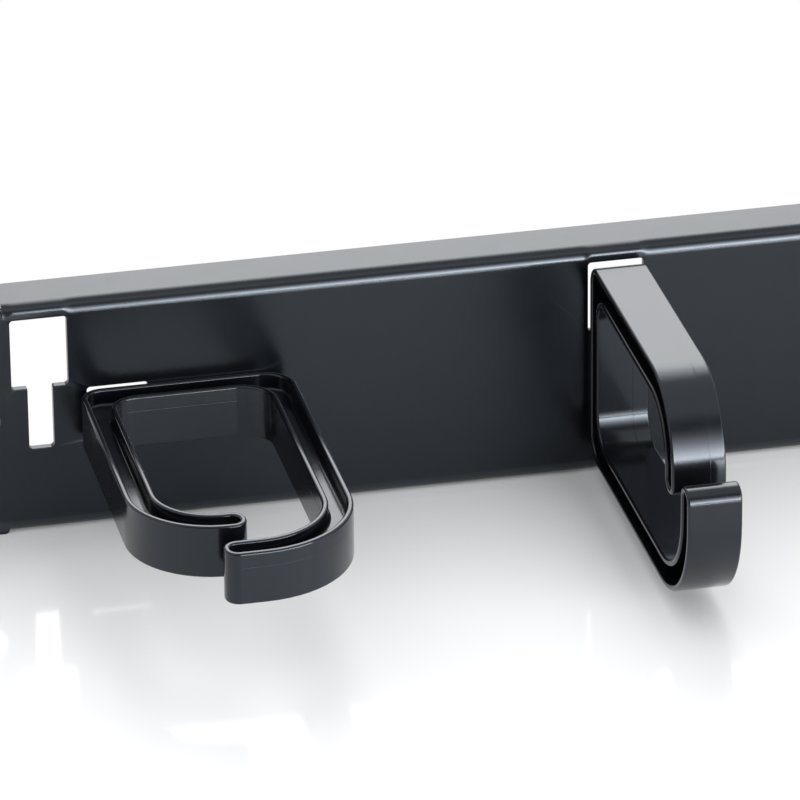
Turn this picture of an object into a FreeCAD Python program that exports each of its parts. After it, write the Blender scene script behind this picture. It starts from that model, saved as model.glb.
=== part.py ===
import FreeCAD, Part
import math
import os

# Panel sheet, in millimetres
panel_width = 482.6
panel_height = 44.0
sheet = 1.5
bend_inside = 0.9
flange_depth = 10.5
ear_corner = 1.0

# Rack fixing slots in the ears
rack_slot_to_end = 8.75
rack_slot_width = 6.8
rack_slot_length = 13.0
rack_slot_to_flange = 1.05

# Cable ring, seen from the side: height along the panel face, reach away from it
ring_height = 38.1
ring_band = 9.6
band_thickness = 5.4
wall = 1.1
web = 1.4
web_offset = 1.1
rim_edge = 0.3
back_corner_upper = 4.0
back_corner_lower = 6.0
loop_corner_upper = 4.0
loop_corner_lower = 7.0

# Front of the ring: two curved lips that pass each other and leave an entry for the cables
inner_lip_reach = 59.2
entry_gap = 5.4
inner_lip_tip = 0.2
outer_lip_tip = 6.25
inner_shoulder = 15.6
outer_shoulder = 18.4
lip_round = 2.5

# Foot of the ring and the key slots that take it
neck_width = 4.2
neck_length = 8.0
head_width = 9.6
head_length = 9.8
head_thickness = 2.0
foot_drop = 2.35
slot_side_gap = 0.15
head_side_gap = 0.27
foot_rear_gap = 0.1
key_corner = 0.6

# Places of the key slots on the face
key_top_margin = 2.7
key_wide_upright = 13.3
key_wide_level = 10.9
key_stem_upright = 11.8
key_stem_level = 12.9
end_key_from_flange = 6.25
next_key_gap = 104.25
level_key_offset = 8.3

# Values that follow from the sizes above
bend_outside = bend_inside + sheet
outer_lip_reach = inner_lip_reach + entry_gap + band_thickness
rack_half = panel_width / 2 - rack_slot_to_end
flange_half = rack_half - rack_slot_length / 2 - rack_slot_to_flange
end_key_x = flange_half - end_key_from_flange
next_key_x = end_key_x - next_key_gap
key_wide = head_width + 2 * head_side_gap
key_stem = neck_width + 2 * slot_side_gap
half_height = panel_height / 2
face_y = -sheet
key_top_z = half_height - key_top_margin
key_shoulder_z = key_top_z - key_wide_upright
key_bottom_z = key_shoulder_z - key_stem_upright
level_key_start = end_key_x - level_key_offset
level_key_shoulder = level_key_start - key_wide_level
level_key_end = level_key_shoulder - key_stem_level
upright_ring_z = key_bottom_z + neck_length / 2 + foot_drop
level_ring_x = level_key_end + neck_length / 2 + foot_drop


def vector(x, y, z=0.0):
    return FreeCAD.Vector(x, y, z)


# How far the rounding of a corner runs along its two edges, for each millimetre of radius
def run_per_radius(corners, index):
    here = vector(corners[index][0], corners[index][1])
    before = corners[index - 1]
    after = corners[(index + 1) % len(corners)]
    angle = (vector(before[0], before[1]) - here).getAngle(vector(after[0], after[1]) - here)
    return 1 / math.tan(angle / 2)


# Corners with their radii eased wherever two roundings would take more than most of an edge
def fitted(corners):
    most = 0.97
    count = len(corners)
    runs = [corners[index][2] * run_per_radius(corners, index) for index in range(count)]
    ease = [1.0] * count
    for index in range(count):
        after = (index + 1) % count
        first = vector(corners[index][0], corners[index][1])
        length = (vector(corners[after][0], corners[after][1]) - first).Length
        share = most * length / max(runs[index] + runs[after], 1e-9)
        ease[index] = min(ease[index], share)
        ease[after] = min(ease[after], share)
    return [(x, y, radius * share) for (x, y, radius), share in zip(corners, ease)]


# Closed outline through corners given as x, y and radius, each corner rounded by a tangent arc
def rounded_outline(corners):
    edges = []
    ends = []
    count = len(corners)
    for index in range(count):
        here = vector(corners[index][0], corners[index][1])
        radius = corners[index][2]
        before = corners[index - 1]
        after = corners[(index + 1) % count]
        back = (vector(before[0], before[1]) - here).normalize()
        onward = (vector(after[0], after[1]) - here).normalize()
        half = math.acos(max(-1.0, min(1.0, back.dot(onward)))) / 2
        if radius <= 0 or half > math.radians(89.5):
            ends.append((here, here))
            continue
        run = radius / math.tan(half)
        start = here + back * run
        stop = here + onward * run
        axis = (back + onward).normalize()
        middle = here + axis * (radius / math.sin(half) - radius)
        edges.append(Part.Arc(start, middle, stop).toShape())
        ends.append((start, stop))
    for index in range(count):
        start = ends[index][1]
        stop = ends[(index + 1) % count][0]
        if (stop - start).Length > 1e-6:
            edges.append(Part.makeLine(start, stop))
    return Part.Wire(Part.__sortEdges__(edges))


# Line beside an edge, moved to the left of its direction by the given distance
def beside(start, stop, distance):
    along = (stop - start).normalize()
    return start + vector(-along.y, along.x) * distance, along


# Point where two lines meet
def meeting(line, other):
    turn = line[1].cross(other[1]).z
    step = (other[0] - line[0]).cross(other[1]).z / turn
    return line[0] + line[1] * step


# Open chain of points moved to its left
def moved_chain(points, distance):
    lines = [beside(points[index], points[index + 1], distance) for index in range(len(points) - 1)]
    first = lines[0][0]
    last = lines[-1][0] + lines[-1][1] * (points[-1] - points[-2]).Length
    return [first] + [meeting(lines[index - 1], lines[index]) for index in range(1, len(lines))] + [last]


# Closed run of rounded corners drawn in by one distance, with the arcs kept concentric
def drawn_in(corners, distance):
    points = [vector(corner[0], corner[1]) for corner in corners]
    count = len(points)
    lines = [beside(points[index - 1], points[index], distance) for index in range(count)]
    result = []
    for index in range(count):
        onward = lines[(index + 1) % count]
        point = meeting(lines[index], onward)
        change = math.copysign(distance, lines[index][1].cross(onward[1]).z)
        result.append((point.x, point.y, max(0.0, corners[index][2] - change)))
    return result


# Side outline of the ring band, x away from the panel and y up the panel
def ring_outline():
    half = ring_height / 2
    chain = [
        (inner_lip_reach, inner_lip_tip, lip_round),
        (inner_lip_reach, half, inner_shoulder),
        (0.0, half, back_corner_upper),
        (0.0, -half, back_corner_lower),
        (outer_lip_reach, -half, outer_shoulder),
        (outer_lip_reach, outer_lip_tip, lip_round),
    ]
    inside = moved_chain([vector(corner[0], corner[1]) for corner in chain], band_thickness)
    loop_radii = [
        lip_round,
        inner_shoulder - band_thickness,
        loop_corner_upper,
        loop_corner_lower,
        outer_shoulder - band_thickness,
        lip_round,
    ]
    loop = [(point.x, point.y, radius) for point, radius in zip(inside, loop_radii)]
    return fitted(chain + loop[::-1])


# One ring: an H section band round the loop with eased rims, its web off the middle, and a foot on the back
def make_ring():
    corners = ring_outline()
    band = Part.Face(rounded_outline(corners)).extrude(vector(0, 0, ring_band))
    rims = [edge for edge in band.Edges if edge.BoundBox.ZLength < wall / 10]
    band = band.makeChamfer(rim_edge, rims)
    pocket = Part.Face(rounded_outline(drawn_in(corners, wall)))
    near_depth = (ring_band - web) / 2 - web_offset
    near_pocket = pocket.extrude(vector(0, 0, near_depth))
    far_pocket = pocket.translated(vector(0, 0, near_depth + web)).extrude(vector(0, 0, ring_band))
    band = band.cut(near_pocket).cut(far_pocket)
    return band.translated(vector(0, 0, -ring_band / 2)).fuse(make_foot()).removeSplitter()


# Foot behind the ring: a neck for the slot stem and a wider head behind the sheet
def make_foot():
    neck_depth = sheet + foot_rear_gap
    neck = rounded_block(neck_width, neck_length, neck_depth, neck_width / 4)
    head = rounded_block(head_width, head_length, head_thickness, 0)
    foot = neck.fuse(head.translated(vector(0, 0, neck_depth)))
    foot.rotate(vector(0, 0, 0), vector(0, 1, 0), -90)
    foot.translate(vector(0, -foot_drop, 0))
    return foot


# Block with rounded upright corners, standing on the plane z = 0
def rounded_block(width, length, height, radius):
    half_x = width / 2
    half_y = length / 2
    corners = [
        (-half_x, -half_y, radius),
        (half_x, -half_y, radius),
        (half_x, half_y, radius),
        (-half_x, half_y, radius),
    ]
    return Part.Face(rounded_outline(corners)).extrude(vector(0, 0, height))


# Ring turned so that its outline's x axis points to the front and its y axis along the given way
def place_ring(ring, up, x, z):
    forward = vector(0, -1, 0)
    across = forward.cross(up)
    matrix = FreeCAD.Matrix(
        forward.x, up.x, across.x, x,
        forward.y, up.y, across.y, face_y,
        forward.z, up.z, across.z, z,
        0, 0, 0, 1,
    )
    placed = ring.copy()
    placed.Placement = FreeCAD.Placement(matrix)
    return placed


# Key slot cutter: wide part for the head, then a stem, drawn downwards from the origin
def key_cutter(wide_length, stem_length):
    wide = key_wide / 2
    stem = key_stem / 2
    bottom = -wide_length - stem_length
    corners = [
        (-wide, 0.0, key_corner),
        (wide, 0.0, key_corner),
        (wide, -wide_length, key_corner),
        (stem, -wide_length, 0),
        (stem, bottom, key_corner),
        (-stem, bottom, key_corner),
        (-stem, -wide_length, 0),
        (-wide, -wide_length, key_corner),
    ]
    cutter = Part.Face(rounded_outline(corners)).extrude(vector(0, 0, 3 * sheet))
    cutter.translate(vector(0, 0, -1.5 * sheet))
    cutter.rotate(vector(0, 0, 0), vector(1, 0, 0), 90)
    cutter.translate(vector(0, face_y + sheet / 2, 0))
    return cutter


# Folded channel profile of the panel in the plane across its length, open to the rear
def channel_profile():
    front = face_y
    rear = face_y + flange_depth
    top = half_height
    corners = [
        (front, -top, bend_outside),
        (rear, -top, 0),
        (rear, -top + sheet, 0),
        (front + sheet, -top + sheet, bend_inside),
        (front + sheet, top - sheet, bend_inside),
        (rear, top - sheet, 0),
        (rear, top, 0),
        (front, top, bend_outside),
    ]
    return Part.Face(rounded_outline(corners))


# Panel sheet: channel along the face, flat ears, rack slots and key slots
def make_panel():
    channel = channel_profile().extrude(vector(0, 0, 2 * flange_half))
    channel.Placement = FreeCAD.Placement(FreeCAD.Matrix(
        0, 0, 1, -flange_half,
        1, 0, 0, 0,
        0, 1, 0, 0,
        0, 0, 0, 1,
    ))
    panel = channel
    for side in (-1, 1):
        panel = panel.fuse(make_ear(side))
    panel = panel.removeSplitter()
    for x in (-end_key_x, -next_key_x, 0.0, next_key_x, end_key_x):
        cutter = key_cutter(key_wide_upright, key_stem_upright)
        cutter.translate(vector(x, 0, key_top_z))
        panel = panel.cut(cutter)
    for side in (-1, 1):
        cutter = key_cutter(key_wide_level, key_stem_level)
        cutter.rotate(vector(0, 0, 0), vector(0, 1, 0), 90 * side)
        cutter.translate(vector(side * level_key_start, 0, 0))
        panel = panel.cut(cutter)
    return panel


# Flat ear at one end, sheared free of the flanges and slotted for the rack screw
def make_ear(side):
    outer = panel_width / 2
    corners = [
        (flange_half, -half_height, 0),
        (outer, -half_height, ear_corner),
        (outer, half_height, ear_corner),
        (flange_half, half_height, 0),
    ]
    plate = Part.Face(rounded_outline(corners)).extrude(vector(0, 0, sheet))
    slot = rounded_block(rack_slot_length, rack_slot_width, 3 * sheet, rack_slot_width / 2 - 1e-4)
    slot.translate(vector(rack_half, 0, -sheet))
    ear = plate.cut(slot)
    ear.rotate(vector(0, 0, 0), vector(1, 0, 0), 90)
    if side < 0:
        ear.rotate(vector(0, 0, 0), vector(0, 1, 0), 180)
    return ear


os.makedirs("parts", exist_ok=True)
ring = make_ring()
upward = vector(0, 0, 1)
make_panel().exportStep("parts/panel.step")
place_ring(ring, vector(-1, 0, 0), -level_ring_x, 0).exportStep("parts/left_level_ring.step")
place_ring(ring, upward, -next_key_x, upright_ring_z).exportStep("parts/left_upright_ring.step")
place_ring(ring, upward, 0, upright_ring_z).exportStep("parts/middle_upright_ring.step")
place_ring(ring, upward, next_key_x, upright_ring_z).exportStep("parts/right_upright_ring.step")
place_ring(ring, vector(1, 0, 0), level_ring_x, 0).exportStep("parts/right_level_ring.step")
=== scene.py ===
import math

import bmesh
import bpy
from mathutils import Matrix, Vector
from mathutils.geometry import delaunay_2d_cdt


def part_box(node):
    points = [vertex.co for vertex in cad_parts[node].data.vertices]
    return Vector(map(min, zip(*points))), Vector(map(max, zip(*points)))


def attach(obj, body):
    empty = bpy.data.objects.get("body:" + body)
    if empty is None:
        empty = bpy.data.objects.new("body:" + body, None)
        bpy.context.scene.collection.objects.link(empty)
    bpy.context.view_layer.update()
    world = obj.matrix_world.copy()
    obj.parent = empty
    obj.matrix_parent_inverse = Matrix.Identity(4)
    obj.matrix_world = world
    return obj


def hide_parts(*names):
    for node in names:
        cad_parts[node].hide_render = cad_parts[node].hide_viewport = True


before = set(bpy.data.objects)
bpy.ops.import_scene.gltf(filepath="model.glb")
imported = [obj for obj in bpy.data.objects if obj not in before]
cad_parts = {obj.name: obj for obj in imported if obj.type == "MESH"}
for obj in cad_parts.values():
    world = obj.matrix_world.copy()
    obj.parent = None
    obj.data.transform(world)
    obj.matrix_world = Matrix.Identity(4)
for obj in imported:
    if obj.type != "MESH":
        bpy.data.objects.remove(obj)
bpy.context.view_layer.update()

# Lengths of the object are in millimetres and become metres when a mesh is made
MM = 0.001
ARC_STEP = math.radians(6)
SHARP_ANGLE = math.radians(50)
WELD_DISTANCE = 0.002
FILL_TOLERANCE = 1e-5

# Panel sheet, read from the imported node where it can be
panel_low, panel_high = (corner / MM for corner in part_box("panel"))
FACE_Y = panel_low.y
REAR_EDGE_Y = panel_high.y
TOP_Z = panel_high.z
PANEL_END_X = panel_high.x
SHEET = 1.5
REAR_Y = FACE_Y + SHEET
BEND_OUTSIDE = 2.4
FLAT_MARGIN = 0.05
FLAT_TOP_Z = TOP_Z - BEND_OUTSIDE - FLAT_MARGIN
FLANGE_HALF = 225.0
EAR_CORNER = 1.0
EAR_INNER_CORNER = 0.9
SHEET_EDGE = 0.13
BEND_STEPS = 12
INSIDE_BEND_STEPS = 6
EDGE_STEPS = 3

# Rack slots in the ears; the share keeps the two arcs of a round end just apart
RACK_X = 232.55
RACK_SLOT_WIDTH = 6.8
RACK_SLOT_LENGTH = 13.0
ROUND_END_SHARE = 0.999

# Key slots in the face
KEY_TOP_Z = 19.3
KEY_WIDE = 10.14
KEY_STEM = 4.5
KEY_CORNER = 0.6
KEY_INNER_CORNER = KEY_CORNER / 2
UPRIGHT_WIDE_LENGTH = 13.3
UPRIGHT_STEM_LENGTH = 11.8
LEVEL_WIDE_LENGTH = 10.9
LEVEL_STEM_LENGTH = 12.9
UPRIGHT_KEYS_X = (-218.75, -114.5, 0.0, 114.5, 218.75)
LEVEL_KEY_START = 210.45

# Top bend pressed sharper over each upright slot
BEND_OVER_SLOT = 1.6
PRESS_HALF = 4.4
PRESS_FADE = 1.6
STRIP_COLUMNS = 44
PRESS_COLUMNS = 28
PRESS_COLUMN_STEP = 0.3
COLUMN_DECIMALS = 3

# Cable ring, x away from the panel, y up the ring, z across its band
RING_HALF = 19.05
BAND_HALF = 4.8
BAND_THICKNESS = 5.4
INNER_LIP_REACH = 59.2
OUTER_LIP_REACH = 70.0
INNER_LIP_TIP = 0.2
OUTER_LIP_TIP = 6.25
INNER_SHOULDER = 15.6
OUTER_SHOULDER = 18.4
LIP_ROUND = 2.5
UPPER_BACK_ROUND = 4.0
LOWER_BACK_ROUND = 6.0
UPPER_LOOP_ROUND = 4.0
LOWER_LOOP_ROUND = 5.6
WALL = 1.1
WEB_NEAR_Z = -0.4
WEB_FAR_Z = -1.8
RIM_ROUND = 0.4
RIM_STEPS = 5
POCKET_FILLET = 0.6
FILLET_STEPS = 4
MOULD_LINE_Z = -1.92
MOULD_LINE_HEIGHT = 0.018
MOULD_LINE_HALF = 0.14

# Foot of a ring: a neck in the stem of the key slot and a head behind the sheet
NECK_WIDTH = 4.2
NECK_LENGTH = 8.0
NECK_CORNER = NECK_WIDTH / 4
HEAD_WIDTH = 9.6
HEAD_LENGTH = 9.8
HEAD_THICKNESS = 2.0
HEAD_CORNER = 0.5
HEAD_FRONT_EASE = 0.3
HEAD_FRONT_EASE_MIDDLE = 0.1
HEAD_REAR_EASE = 0.4
HEAD_REAR_EASE_MIDDLE = 0.12
FOOT_DROP = 2.35
FOOT_GAP = 0.1
FOOT_OVERLAP = 0.1

RING_UPWARD = {
    "left_level_ring": Vector((-1, 0, 0)),
    "left_upright_ring": Vector((0, 0, 1)),
    "middle_upright_ring": Vector((0, 0, 1)),
    "right_upright_ring": Vector((0, 0, 1)),
    "right_level_ring": Vector((1, 0, 0)),
}

# Surface detail shared by the materials
NOISE_SPAN = (0.3, 0.7)
WAVE_DETAIL = 2.0
GRAIN_DETAIL = 3.0
PATCH_DETAIL = 4.0
PATCHES_PER_WAVE = 4

# Gloss along the bends, as shares of the bend radius: its depth below the top, its core and its end
GLOSS_DEPTH = 0.6
GLOSS_CORE = 0.25
GLOSS_END = 0.5

# Studio, in metres; a fade runs from its first to its second place in y
FLOOR_HALF = 4.0
FLOOR_TONES = ((0.89, 0.895, 0.905), (0.92, 0.925, 0.93))
FLOOR_ROUGHNESS = (0.07, 0.1)
FLOOR_SPECULAR = 0.16
FLOOR_CLOUD_SCALE = 3.0
PLAIN_BEHIND = (0.015, 0.05)
PLAIN_FAR_IN_FRONT = (-0.5, -0.8)
LIGHT_AIM = Vector((-0.15, -0.02, 0.0))

# World strength from level to overhead, and what the object mirrors of it towards the front
SKY_STRENGTH = (0.12, 1.2)
FRONT_FADE = (-0.72, -0.42)
FRONT_STRENGTH = 0.33


# Small geometry helpers
def left_of(way):
    return Vector((-way.y, way.x))


def rounded_samples(corners):
    """Closed run of corners x, y, radius as points, each with the normal to the left of travel."""
    samples = []
    count = len(corners)
    for index in range(count):
        here = Vector(corners[index][:2])
        radius = corners[index][2]
        way_in = (here - Vector(corners[index - 1][:2])).normalized()
        way_out = (Vector(corners[(index + 1) % count][:2]) - here).normalized()
        turn = math.atan2(way_in.cross(way_out), way_in.dot(way_out))
        side = math.copysign(1.0, turn)
        start = here - way_in * radius * math.tan(abs(turn) / 2)
        centre = start + left_of(way_in) * side * radius
        steps = max(1, math.ceil(abs(turn) / ARC_STEP))
        for step in range(steps + 1):
            normal = left_of(way_in)
            normal.rotate(Matrix.Rotation(turn * step / steps, 2))
            samples.append((centre - normal * side * radius, normal))
    return samples


def shifted(samples, distance):
    """Points of a run moved along their normals."""
    return [point + normal * distance for point, normal in samples]


def box_corners(x, y, length, width, radius):
    """Corners of a rounded oblong round x, y."""
    half_length = length / 2
    half_width = width / 2
    return [
        (x - half_length, y - half_width, radius),
        (x + half_length, y - half_width, radius),
        (x + half_length, y + half_width, radius),
        (x - half_length, y + half_width, radius),
    ]


def quarter_arc(steps):
    """Quarter round as pairs of shares, the first falling from 1 to 0, the second rising from 0 to 1."""
    pairs = []
    for step in range(steps + 1):
        angle = math.pi / 2 * step / steps
        pairs.append((1 - math.sin(angle), 1 - math.cos(angle)))
    return pairs


def skin(mesh, loops, closed):
    """Quads between neighbouring loops of vertices."""
    for near, far in zip(loops, loops[1:]):
        count = len(near)
        for index in range(count if closed else count - 1):
            after = (index + 1) % count
            mesh.faces.new((near[index], near[after], far[after], far[index]))


def finished_piece(name, mesh, material, node):
    """Turns a bmesh in millimetres into a piece of the root body that stands for a node."""
    bmesh.ops.remove_doubles(mesh, verts=mesh.verts, dist=WELD_DISTANCE)
    bmesh.ops.recalc_face_normals(mesh, faces=mesh.faces)
    bmesh.ops.scale(mesh, vec=(MM, MM, MM), verts=mesh.verts)
    data = bpy.data.meshes.new(name)
    mesh.to_mesh(data)
    mesh.free()
    data.shade_smooth()
    data.set_sharp_from_angle(angle=SHARP_ANGLE)
    data.materials.append(material)
    piece = bpy.data.objects.new(name, data)
    bpy.context.scene.collection.objects.link(piece)
    shading = piece.modifiers.new("even_shading", "WEIGHTED_NORMAL")
    shading.mode = "FACE_AREA"
    shading.keep_sharp = True
    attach(piece, "root")
    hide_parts(node)


# Cable rings
def ring_corners():
    """Rounded corners of the ring seen from the side: outer chain first, then the loop back."""
    inside = RING_HALF - BAND_THICKNESS
    outer = [
        (INNER_LIP_REACH, INNER_LIP_TIP, LIP_ROUND),
        (INNER_LIP_REACH, RING_HALF, INNER_SHOULDER),
        (0.0, RING_HALF, UPPER_BACK_ROUND),
        (0.0, -RING_HALF, LOWER_BACK_ROUND),
        (OUTER_LIP_REACH, -RING_HALF, OUTER_SHOULDER),
        (OUTER_LIP_REACH, OUTER_LIP_TIP, LIP_ROUND),
    ]
    loop = [
        (OUTER_LIP_REACH - BAND_THICKNESS, OUTER_LIP_TIP, LIP_ROUND),
        (OUTER_LIP_REACH - BAND_THICKNESS, -inside, OUTER_SHOULDER - BAND_THICKNESS),
        (BAND_THICKNESS, -inside, LOWER_LOOP_ROUND),
        (BAND_THICKNESS, inside, UPPER_LOOP_ROUND),
        (INNER_LIP_REACH - BAND_THICKNESS, inside, INNER_SHOULDER - BAND_THICKNESS),
        (INNER_LIP_REACH - BAND_THICKNESS, INNER_LIP_TIP, LIP_ROUND),
    ]
    return outer + loop


def band_section():
    """Section of one flange of the band, as inset from the outline and place across the band."""
    halves = []
    for side, web_z in ((1, WEB_NEAR_Z), (-1, WEB_FAR_Z)):
        half = []
        for falling, rising in quarter_arc(FILLET_STEPS):
            half.append((WALL + POCKET_FILLET * falling, web_z + side * POCKET_FILLET * rising))
        for falling, rising in quarter_arc(RIM_STEPS):
            half.append((WALL - RIM_ROUND * rising, side * (BAND_HALF - RIM_ROUND * falling)))
        for falling, rising in quarter_arc(RIM_STEPS):
            half.append((RIM_ROUND * falling, side * (BAND_HALF - RIM_ROUND * rising)))
        halves.append(half)
    near, far = halves
    line = []
    for share in (1.0, 0.5, 0.0, -0.5, -1.0):
        rise = MOULD_LINE_HEIGHT * (1 - share * share)
        line.append((-rise, MOULD_LINE_Z + share * MOULD_LINE_HALF))
    return near + line + far[::-1]


def add_block(mesh, place, length, width, radius, layers):
    """Rounded block of the foot, in layers of distance from the face and inset."""
    samples = rounded_samples(box_corners(0.0, 0.0, length, width, radius))
    loops = []
    for x, inset in layers:
        spots = shifted(samples, inset)
        loops.append([mesh.verts.new(place(x, spot.x - FOOT_DROP, spot.y)) for spot in spots])
    skin(mesh, loops, True)
    mesh.faces.new(loops[0])
    mesh.faces.new(loops[-1])


def add_foot(mesh, place):
    """Neck through the sheet and head behind it."""
    neck_end = -SHEET - FOOT_GAP
    head_end = neck_end - HEAD_THICKNESS
    neck_layers = [(0.0, 0.0), (neck_end - FOOT_OVERLAP, 0.0)]
    head_layers = [
        (neck_end, HEAD_FRONT_EASE),
        (neck_end - HEAD_FRONT_EASE_MIDDLE, HEAD_FRONT_EASE_MIDDLE),
        (neck_end - HEAD_FRONT_EASE, 0.0),
        (head_end + HEAD_REAR_EASE, 0.0),
        (head_end + HEAD_REAR_EASE_MIDDLE, HEAD_REAR_EASE_MIDDLE),
        (head_end, HEAD_REAR_EASE),
    ]
    add_block(mesh, place, NECK_LENGTH, NECK_WIDTH, NECK_CORNER, neck_layers)
    add_block(mesh, place, HEAD_LENGTH, HEAD_WIDTH, HEAD_CORNER, head_layers)


def make_ring(node, upward, material):
    low, high = (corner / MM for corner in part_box(node))
    middle = (low + high) / 2
    origin = Vector((middle.x, FACE_Y, middle.z))
    forward = Vector((0, -1, 0))
    across = forward.cross(upward)

    def place(x, y, z):
        return origin + forward * x + upward * y + across * z

    mesh = bmesh.new()
    samples = rounded_samples(ring_corners())
    loops = []
    for inset, z in band_section():
        loops.append([mesh.verts.new(place(spot.x, spot.y, z)) for spot in shifted(samples, inset)])
    skin(mesh, loops, True)
    last = len(samples) - 1
    for web in (loops[0], loops[-1]):
        for index in range(last // 2):
            mesh.faces.new((web[index], web[index + 1], web[last - index - 1], web[last - index]))
    add_foot(mesh, place)
    finished_piece(node + "_moulding", mesh, material, node)


# Panel sheet
def key_corners(x, z, way, wide_length, stem_length):
    """Corners of a key slot that starts at x, z and runs along way."""
    side = left_of(way)
    start = Vector((x, z))
    wide = KEY_WIDE / 2
    stem = KEY_STEM / 2
    total = wide_length + stem_length
    plan = [
        (0.0, wide, KEY_CORNER),
        (0.0, -wide, KEY_CORNER),
        (wide_length, -wide, KEY_CORNER),
        (wide_length, -stem, KEY_INNER_CORNER),
        (total, -stem, KEY_CORNER),
        (total, stem, KEY_CORNER),
        (wide_length, stem, KEY_INNER_CORNER),
        (wide_length, wide, KEY_CORNER),
    ]
    corners = []
    for along, sideways, radius in plan:
        point = start + way * along + side * sideways
        corners.append((point.x, point.y, radius))
    return corners


def slot_outlines():
    """Corners of the upright and level key slots and of the two rack slots."""
    outlines = []
    down = Vector((0, -1))
    for x in UPRIGHT_KEYS_X:
        outlines.append(key_corners(x, KEY_TOP_Z, down, UPRIGHT_WIDE_LENGTH, UPRIGHT_STEM_LENGTH))
    for side in (-1, 1):
        start = side * LEVEL_KEY_START
        inward = Vector((-side, 0))
        outlines.append(key_corners(start, 0, inward, LEVEL_WIDE_LENGTH, LEVEL_STEM_LENGTH))
    end_radius = RACK_SLOT_WIDTH / 2 * ROUND_END_SHARE
    for side in (-1, 1):
        outlines.append(box_corners(side * RACK_X, 0.0, RACK_SLOT_LENGTH, RACK_SLOT_WIDTH, end_radius))
    return outlines


def edge_layers():
    """Eased edge through the sheet: distance back from the edge, and y."""
    front = []
    rear = []
    for falling, rising in quarter_arc(EDGE_STEPS):
        front.append((SHEET_EDGE * falling, FACE_Y + SHEET_EDGE * rising))
        rear.append((SHEET_EDGE * rising, REAR_Y - SHEET_EDGE * falling))
    return front + rear


def bend_radius(x):
    """The bend is pressed sharper where the sheet is cut away just below it."""
    nearest = min(abs(x - key) for key in UPRIGHT_KEYS_X)
    share = min(1.0, max(0.0, (nearest - PRESS_HALF) / PRESS_FADE))
    press = 1 - share * share * (3 - 2 * share)
    return BEND_OUTSIDE - (BEND_OUTSIDE - BEND_OVER_SLOT) * press


def strip_columns():
    """Places in x along the flanges, closer together round the upright slots."""
    columns = set()
    for index in range(STRIP_COLUMNS + 1):
        columns.add(round(-FLANGE_HALF + 2 * FLANGE_HALF * index / STRIP_COLUMNS, COLUMN_DECIMALS))
    for key in UPRIGHT_KEYS_X:
        for index in range(-PRESS_COLUMNS, PRESS_COLUMNS + 1):
            x = round(key + index * PRESS_COLUMN_STEP, COLUMN_DECIMALS)
            if abs(x) < FLANGE_HALF:
                columns.add(x)
    return sorted(columns)


def strip_section(radius):
    """Bend and flange in section as y, z from the flat front face round to the flat rear face."""
    under_z = TOP_Z - SHEET
    inside = BEND_OUTSIDE - SHEET
    section = [(FACE_Y, FLAT_TOP_Z)]
    for falling, rising in quarter_arc(BEND_STEPS):
        section.append((FACE_Y + BEND_OUTSIDE * rising, TOP_Z - radius * falling))
    for falling, rising in quarter_arc(EDGE_STEPS):
        section.append((REAR_EDGE_Y - SHEET_EDGE * falling, TOP_Z - SHEET_EDGE * rising))
    for falling, rising in quarter_arc(EDGE_STEPS):
        section.append((REAR_EDGE_Y - SHEET_EDGE * rising, under_z + SHEET_EDGE * falling))
    for falling, rising in quarter_arc(INSIDE_BEND_STEPS):
        section.append((REAR_Y + inside * falling, under_z - inside * rising))
    section.append((REAR_Y, FLAT_TOP_Z))
    return section


def add_strip(mesh, columns, side):
    """Bend and flange along the top, side 1, or the bottom, side -1."""
    sections = []
    for x in columns:
        radius = bend_radius(x) if side > 0 else BEND_OUTSIDE
        sections.append([mesh.verts.new((x, y, side * z)) for y, z in strip_section(radius)])
    skin(mesh, sections, False)
    mesh.faces.new(sections[0])
    mesh.faces.new(sections[-1])


def ear_run(side):
    """Free edge of one ear from one bend to the other, points with normals into the sheet.

    The first and last point lie where the edge meets the bends, and stay in place when it is eased.
    """
    run = rounded_samples([
        (FLANGE_HALF, -TOP_Z, EAR_INNER_CORNER),
        (PANEL_END_X, -TOP_Z, EAR_CORNER),
        (PANEL_END_X, TOP_Z, EAR_CORNER),
        (FLANGE_HALF, TOP_Z, EAR_INNER_CORNER),
    ])
    start = Vector((FLANGE_HALF, -FLAT_TOP_Z))
    stop = Vector((FLANGE_HALF, FLAT_TOP_Z))
    welded = Vector((0, 0))
    run = [(start, welded)] + run + [(stop, welded)]
    if side < 0:
        run = [(Vector((-p.x, p.y)), Vector((-n.x, n.y))) for p, n in reversed(run)]
    return run


def add_edge(mesh, samples, into_sheet, layers, closed):
    """Eased edge of the sheet along a run; into_sheet is 1 where its normals point that way, or -1."""
    loops = []
    for back, y in layers:
        spots = shifted(samples, into_sheet * back)
        loops.append([mesh.verts.new((spot.x, y, spot.y)) for spot in spots])
    skin(mesh, loops, closed)


def lies_within(point, loop):
    """Whether a point is inside a closed loop of points."""
    inside = False
    for index, here in enumerate(loop):
        before = loop[index - 1]
        if (here.y > point.y) != (before.y > point.y):
            crossing = here.x + (point.y - here.y) * (before.x - here.x) / (before.y - here.y)
            inside ^= point.x < crossing
    return inside


def fill_plane(mesh, outer, holes, y):
    """Flat face between an outer boundary and holes, all as x, z points."""
    points = []
    edges = []
    for loop in [outer] + holes:
        first = len(points)
        points.extend(loop)
        edges.extend((first + index, first + (index + 1) % len(loop)) for index in range(len(loop)))
    inside_boundary = 1
    flat = delaunay_2d_cdt(points, edges, [], inside_boundary, FILL_TOLERANCE)
    flat_points = flat[0]
    flat_faces = flat[2]
    verts = [mesh.verts.new((point.x, y, point.y)) for point in flat_points]
    for face in flat_faces:
        middle = sum((flat_points[index] for index in face), Vector((0, 0))) / len(face)
        if not any(lies_within(middle, hole) for hole in holes):
            mesh.faces.new([verts[index] for index in face])


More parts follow.
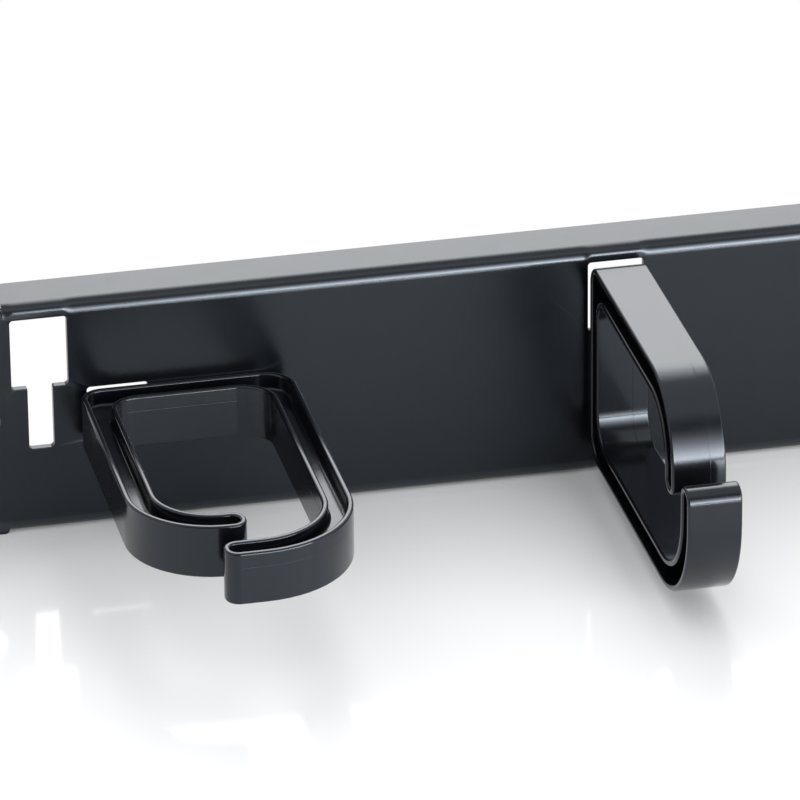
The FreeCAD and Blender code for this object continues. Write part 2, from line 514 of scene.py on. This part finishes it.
def make_panel(material):
    mesh = bmesh.new()
    columns = strip_columns()
    for side in (1, -1):
        add_strip(mesh, columns, side)
    layers = edge_layers()
    right_ear = ear_run(1)
    left_ear = ear_run(-1)
    for ear in (right_ear, left_ear):
        add_edge(mesh, ear, 1, layers, False)
    slots = [rounded_samples(corners) for corners in slot_outlines()]
    for slot in slots:
        add_edge(mesh, slot, -1, layers, True)
    for back, y in (layers[0], layers[-1]):
        outer = [Vector((x, -FLAT_TOP_Z)) for x in columns]
        outer += shifted(right_ear[1:-1], back)
        outer += [Vector((x, FLAT_TOP_Z)) for x in reversed(columns)]
        outer += shifted(left_ear[1:-1], back)
        holes = [shifted(slot, -back) for slot in slots]
        fill_plane(mesh, outer, holes, y)
    finished_piece("panel_sheet", mesh, material, "panel")


# Node helpers
def add_split(tree, vector):
    """The X, Y and Z sockets of a vector socket."""
    apart = tree.nodes.new("ShaderNodeSeparateXYZ")
    tree.links.new(vector, apart.inputs["Vector"])
    return apart.outputs


def add_math(tree, operation, *values):
    """Result of an operation on sockets or numbers."""
    node = tree.nodes.new("ShaderNodeMath")
    node.operation = operation
    for socket, value in zip(node.inputs, values):
        if isinstance(value, bpy.types.NodeSocket):
            tree.links.new(value, socket)
        else:
            socket.default_value = value
    return node.outputs["Value"]


def add_range(tree, value, source, target, smooth=False):
    """A value carried over from one span to another, each given as its start and end."""
    spread = tree.nodes.new("ShaderNodeMapRange")
    if smooth:
        spread.interpolation_type = "SMOOTHSTEP"
    spread.inputs["From Min"].default_value = source[0]
    spread.inputs["From Max"].default_value = source[1]
    spread.inputs["To Min"].default_value = target[0]
    spread.inputs["To Max"].default_value = target[1]
    tree.links.new(value, spread.inputs["Value"])
    return spread.outputs["Result"]


def add_noise(tree, scale, detail, coordinates):
    noise = tree.nodes.new("ShaderNodeTexNoise")
    noise.inputs["Scale"].default_value = scale
    noise.inputs["Detail"].default_value = detail
    tree.links.new(coordinates, noise.inputs["Vector"])
    return noise.outputs["Fac"]


def add_tones(tree, value, dark, light):
    mix = tree.nodes.new("ShaderNodeMix")
    mix.data_type = "RGBA"
    mix.inputs["A"].default_value = (*dark, 1)
    mix.inputs["B"].default_value = (*light, 1)
    tree.links.new(value, mix.inputs["Factor"])
    return mix.outputs["Result"]


def add_bump(tree, height, distance, strength, below=None):
    bump = tree.nodes.new("ShaderNodeBump")
    bump.inputs["Distance"].default_value = distance
    bump.inputs["Strength"].default_value = strength
    tree.links.new(height, bump.inputs["Height"])
    if below:
        tree.links.new(below, bump.inputs["Normal"])
    return bump.outputs["Normal"]


def add_seen_rays(tree):
    """One for rays that show the background: camera, mirror and see-through rays."""
    path = tree.nodes.new("ShaderNodeLightPath").outputs
    mirrored = add_math(tree, "MAXIMUM", path["Is Camera Ray"], path["Is Glossy Ray"])
    return add_math(tree, "MAXIMUM", mirrored, path["Is Transmission Ray"])


def mix_to_output(tree, share, first, second, output):
    """Sends the first shader to an output, with the second in its place by a share."""
    mix = tree.nodes.new("ShaderNodeMixShader")
    tree.links.new(share, mix.inputs["Fac"])
    tree.links.new(first, mix.inputs[1])
    tree.links.new(second, mix.inputs[2])
    tree.links.new(mix.outputs["Shader"], output.inputs["Surface"])


# Materials
def new_material(name):
    material = bpy.data.materials.new(name)
    material.use_nodes = True
    tree = material.node_tree
    return material, tree, tree.nodes["Principled BSDF"]


def coated_surface(name, tones, roughness, grain_scale, grain, wave_scale, wave):
    """Dark coated or moulded surface with fine grain, slow waviness and uneven gloss.

    Grain and wave are each the distance and strength of a bump.
    """
    material, tree, shader = new_material(name)
    where = tree.nodes.new("ShaderNodeTexCoord").outputs["Object"]
    slow = add_noise(tree, wave_scale, WAVE_DETAIL, where)
    fine = add_noise(tree, grain_scale, GRAIN_DETAIL, where)
    patches = add_noise(tree, wave_scale * PATCHES_PER_WAVE, PATCH_DETAIL, where)
    tree.links.new(add_tones(tree, patches, *tones), shader.inputs["Base Color"])
    tree.links.new(add_range(tree, patches, NOISE_SPAN, roughness), shader.inputs["Roughness"])
    wavy = add_bump(tree, slow, *wave)
    tree.links.new(add_bump(tree, fine, *grain, wavy), shader.inputs["Normal"])
    return material, shader


def gloss_the_bends(material, shader, flat, bent):
    """The coat is a little glossier round the bends than on the flat faces."""
    tree = material.node_tree
    where = tree.nodes.new("ShaderNodeTexCoord").outputs["Object"]
    height = add_math(tree, "ABSOLUTE", add_split(tree, where)["Z"])
    above = add_math(tree, "SUBTRACT", height, (TOP_Z - BEND_OUTSIDE * GLOSS_DEPTH) * MM)
    away = add_math(tree, "ABSOLUTE", above)
    fade = (BEND_OUTSIDE * GLOSS_CORE * MM, BEND_OUTSIDE * GLOSS_END * MM)
    gloss = add_range(tree, away, fade, (bent, flat), smooth=True)
    tree.links.new(gloss, shader.inputs["Specular IOR Level"])


def panel_coat():
    """Satin powder coat on the sheet."""
    material, shader = coated_surface(
        "satin_powder_coat",
        tones=((0.0015, 0.002, 0.003), (0.0025, 0.003, 0.0045)),
        roughness=(0.215, 0.24),
        grain_scale=1500.0,
        grain=(0.00002, 0.08),
        wave_scale=60.0,
        wave=(0.0002, 0.05),
    )
    shader.inputs["Specular Tint"].default_value = (0.78, 0.88, 1.0, 1)
    gloss_the_bends(material, shader, flat=0.42, bent=0.75)
    return material


def ring_plastic():
    """Smooth moulded plastic of the rings."""
    material, shader = coated_surface(
        "moulded_plastic",
        tones=((0.003, 0.0035, 0.005), (0.005, 0.0055, 0.0075)),
        roughness=(0.13, 0.16),
        grain_scale=2200.0,
        grain=(0.00001, 0.12),
        wave_scale=90.0,
        wave=(0.0002, 0.06),
    )
    shader.inputs["Specular Tint"].default_value = (0.80, 0.885, 1.0, 1)
    shader.inputs["Specular IOR Level"].default_value = 0.49
    return material


def floor_surface():
    """Glossy white table: lit in front of the object, plain white behind it and far away."""
    material, tree, shader = new_material("white_table")
    where = tree.nodes.new("ShaderNodeTexCoord").outputs["Object"]
    clouds = add_noise(tree, FLOOR_CLOUD_SCALE, WAVE_DETAIL, where)
    tree.links.new(add_tones(tree, clouds, *FLOOR_TONES), shader.inputs["Base Color"])
    tree.links.new(add_range(tree, clouds, NOISE_SPAN, FLOOR_ROUGHNESS), shader.inputs["Roughness"])
    shader.inputs["Specular IOR Level"].default_value = FLOOR_SPECULAR
    depth = add_split(tree, where)["Y"]
    behind = add_range(tree, depth, PLAIN_BEHIND, (0.0, 1.0), smooth=True)
    far_in_front = add_range(tree, depth, PLAIN_FAR_IN_FRONT, (0.0, 1.0), smooth=True)
    plain = add_math(tree, "MAXIMUM", behind, far_in_front)
    share = add_math(tree, "MULTIPLY", plain, add_seen_rays(tree))
    white = tree.nodes.new("ShaderNodeEmission").outputs["Emission"]
    mix_to_output(tree, share, shader.outputs["BSDF"], white, tree.nodes["Material Output"])
    return material


# Floor, light and camera
def make_floor():
    mesh = bmesh.new()
    half = FLOOR_HALF
    spots = [(-half, -half), (half, -half), (half, half), (-half, half)]
    mesh.faces.new([mesh.verts.new((x, y, panel_low.z * MM)) for x, y in spots])
    data = bpy.data.meshes.new("table_top")
    mesh.to_mesh(data)
    mesh.free()
    data.materials.append(floor_surface())
    floor = bpy.data.objects.new("table_top", data)
    bpy.context.scene.collection.objects.link(floor)


def make_world():
    """Soft light, stronger overhead, and a white backdrop that is mirrored darker towards the front."""
    world = bpy.data.worlds.new("studio")
    bpy.context.scene.world = world
    world.use_nodes = True
    tree = world.node_tree
    lit = tree.nodes["Background"]
    shown = tree.nodes.new("ShaderNodeBackground")
    for background in (lit, shown):
        background.inputs["Color"].default_value = (1.0, 1.0, 1.0, 1)
    direction = add_split(tree, tree.nodes.new("ShaderNodeTexCoord").outputs["Generated"])
    overhead = add_range(tree, direction["Z"], (0.0, 1.0), SKY_STRENGTH)
    tree.links.new(overhead, lit.inputs["Strength"])
    mirrored = add_range(tree, direction["Y"], FRONT_FADE, (FRONT_STRENGTH, 1.0), smooth=True)
    camera_ray = tree.nodes.new("ShaderNodeLightPath").outputs["Is Camera Ray"]
    tree.links.new(add_math(tree, "MAXIMUM", mirrored, camera_ray), shown.inputs["Strength"])
    output = tree.nodes["World Output"]
    mix_to_output(tree, add_seen_rays(tree), lit.outputs["Background"], shown.outputs["Background"], output)


def add_softbox(name, azimuth, elevation, distance, width, height, profile):
    """Area light that faces the object; azimuth 0 is in front, elevation above the table.

    The profile gives its radiance at heights from 0, its lower edge, to 1, its upper edge.
    """
    strongest = max(radiance for place, radiance in profile)
    light = bpy.data.lights.new(name, "AREA")
    light.shape = "RECTANGLE"
    light.size = width
    light.size_y = height
    light.energy = strongest * width * height * math.pi
    light.use_nodes = True
    tree = light.node_tree
    spot_on_light = tree.nodes.new("ShaderNodeNewGeometry").outputs["Parametric"]
    ramp = tree.nodes.new("ShaderNodeValToRGB")
    while len(ramp.color_ramp.elements) < len(profile):
        ramp.color_ramp.elements.new(1.0)
    for stop, (place, radiance) in zip(ramp.color_ramp.elements, profile):
        stop.position = place
        share = radiance / strongest
        stop.color = (share, share, share, 1)
    tree.links.new(add_split(tree, spot_on_light)["Y"], ramp.inputs["Fac"])
    tree.links.new(ramp.outputs["Color"], tree.nodes["Emission"].inputs["Color"])
    lamp = bpy.data.objects.new(name, light)
    level = math.cos(elevation)
    away = Vector((math.sin(azimuth) * level, -math.cos(azimuth) * level, math.sin(elevation)))
    lamp.location = LIGHT_AIM + away * distance
    lamp.rotation_euler = away.to_track_quat("Z", "Y").to_euler()
    bpy.context.scene.collection.objects.link(lamp)


def add_lights():
    """Wide front light, strongest at its lower edge, and a tall narrow light behind the object."""
    add_softbox(
        "front_softbox",
        azimuth=math.radians(31),
        elevation=math.radians(20.5),
        distance=1.25,
        width=1.25,
        height=0.885,
        profile=[(0.0, 21.3), (0.2, 13.3), (0.4, 6.7), (0.6, 2.8), (0.8, 0.7), (1.0, 0.0)],
    )
    add_softbox(
        "rear_softbox",
        azimuth=math.radians(167),
        elevation=math.radians(40),
        distance=1.4,
        width=0.5,
        height=1.6,
        profile=[(0.0, 1.5), (0.28, 2.95), (0.54, 4.85), (0.75, 2.9), (0.86, 1.6), (1.0, 0.6)],
    )


def make_camera():
    data = bpy.data.cameras.new("photo_view")
    data.lens = 323.06
    data.sensor_width = 36.0
    data.clip_start = 0.05
    data.clip_end = 50.0
    camera = bpy.data.objects.new("photo_view", data)
    azimuth = math.radians(12.224)
    elevation = math.radians(25.437)
    roll = math.radians(-0.640)
    distance = 1.2786
    aim = Vector((-0.15406, -0.0015, -0.00371))
    level = math.cos(elevation)
    look = Vector((math.sin(azimuth) * level, math.cos(azimuth) * level, -math.sin(elevation)))
    right = Vector((math.cos(azimuth), -math.sin(azimuth), 0))
    up = right.cross(look)
    image_right = right * math.cos(roll) + up * math.sin(roll)
    image_up = up * math.cos(roll) - right * math.sin(roll)
    turn = Matrix((image_right, image_up, -look)).transposed().to_4x4()
    camera.matrix_world = Matrix.Translation(aim - look * distance) @ turn
    bpy.context.scene.collection.objects.link(camera)
    bpy.context.scene.camera = camera


make_panel(panel_coat())
moulded = ring_plastic()
for ring_node, ring_upward in RING_UPWARD.items():
    make_ring(ring_node, ring_upward, moulded)

make_floor()
make_world()
add_lights()
make_camera()
bpy.context.scene.view_settings.view_transform = "Standard"
